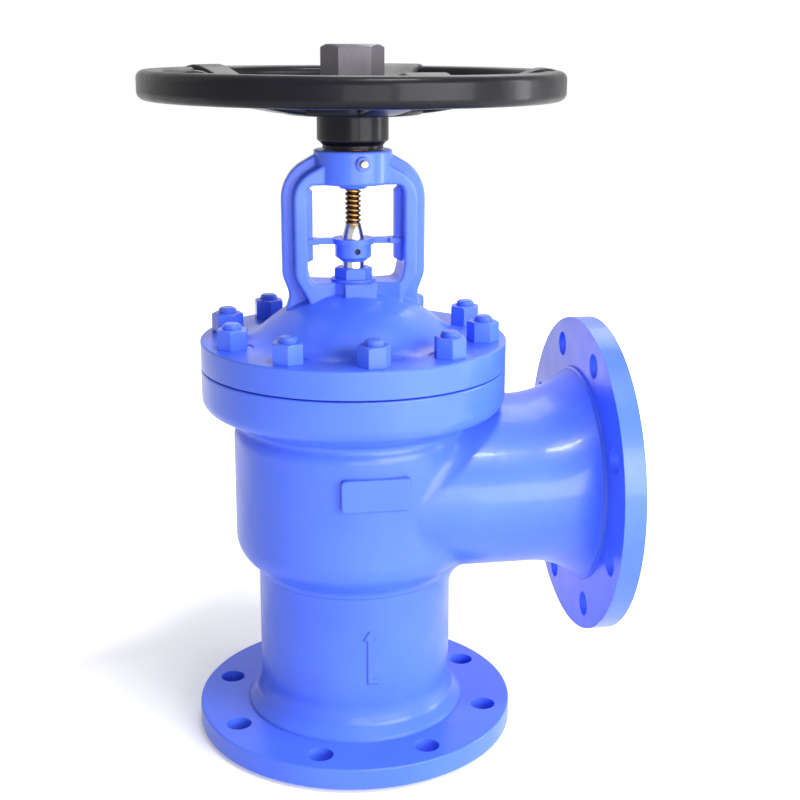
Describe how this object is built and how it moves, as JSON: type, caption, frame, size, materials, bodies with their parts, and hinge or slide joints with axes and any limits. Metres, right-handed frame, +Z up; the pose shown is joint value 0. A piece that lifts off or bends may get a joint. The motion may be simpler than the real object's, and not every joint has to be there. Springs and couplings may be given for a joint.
{
  "type": "bellows seal globe valve",
  "caption": "Flanged angle-pattern globe valve with a bellows-sealed rising stem, bolted yoke bonnet and handwheel.",
  "frame": {"origin": "centre of the inlet flange's raised face", "axes": "+Z up the stem, +X along the outlet branch"},
  "size_m": [0.401, 0.352, 0.605],
  "materials": {
    "painted_cast_steel": "gloss paint over cast steel",
    "painted_fastener": "gloss paint over machined steel",
    "wheel_paint": "semi-gloss black paint over cast iron",
    "polished_steel": "ground steel, oiled at the thread",
    "zinc_steel": "plain turned steel",
    "black_steel": "oil-blackened steel",
    "stainless": "machined stainless steel",
    "bellows_steel": "thin formed stainless steel",
    "brass": "turned brass",
    "bronze": "turned bronze",
    "graphite": "compressed graphite"
  },
  "bodies": {
    "root": {"valve_body": "painted_cast_steel", "seat_ring": "stainless", "body_gasket": "graphite", "bellows_top_ring": "stainless", "bonnet_gasket": "graphite", "bonnet": "painted_cast_steel", "bonnet_studs": "painted_fastener", "bonnet_nuts": "painted_fastener", "stem_guide_bush": "bronze", "packing_base_ring": "stainless", "packing_rings": "graphite", "gland_follower": "stainless", "gland_nut": "painted_fastener", "lower_thrust_bearing": "black_steel", "upper_thrust_bearing": "black_steel", "bearing_retainer": "black_steel", "retainer_lock_screw": "black_steel", "grease_nipple": "brass"},
    "rising_stem": {"stem": "polished_steel", "disc": "stainless", "disc_retaining_nut": "stainless", "disc_lock_pin": "stainless", "bellows_bottom_ring": "stainless", "bellows": "bellows_steel", "travel_indicator": "painted_fastener", "indicator_set_screw": "black_steel"},
    "turning_wheel": {"handwheel": "wheel_paint", "handwheel_key": "black_steel", "handwheel_washer": "zinc_steel", "handwheel_nut": "zinc_steel", "stem_nut": "bronze"}
  },
  "joints": [
    {"name": "handwheel_turn", "type": "hinge", "parent": "root", "child": "turning_wheel", "pos_m": [0, 0, 0.51], "axis": [0, 0, 1], "range_deg": [0, 3420]},
    {"name": "stem_lift", "type": "slide", "parent": "root", "child": "rising_stem", "axis": [0, 0, 1], "range_m": [0, 0.038], "deforming": ["bellows"]}
  ],
  "couplings": [
    {"joint": "stem_lift", "follows": "handwheel_turn", "m_per_rad": 0.00063662}
  ]
}
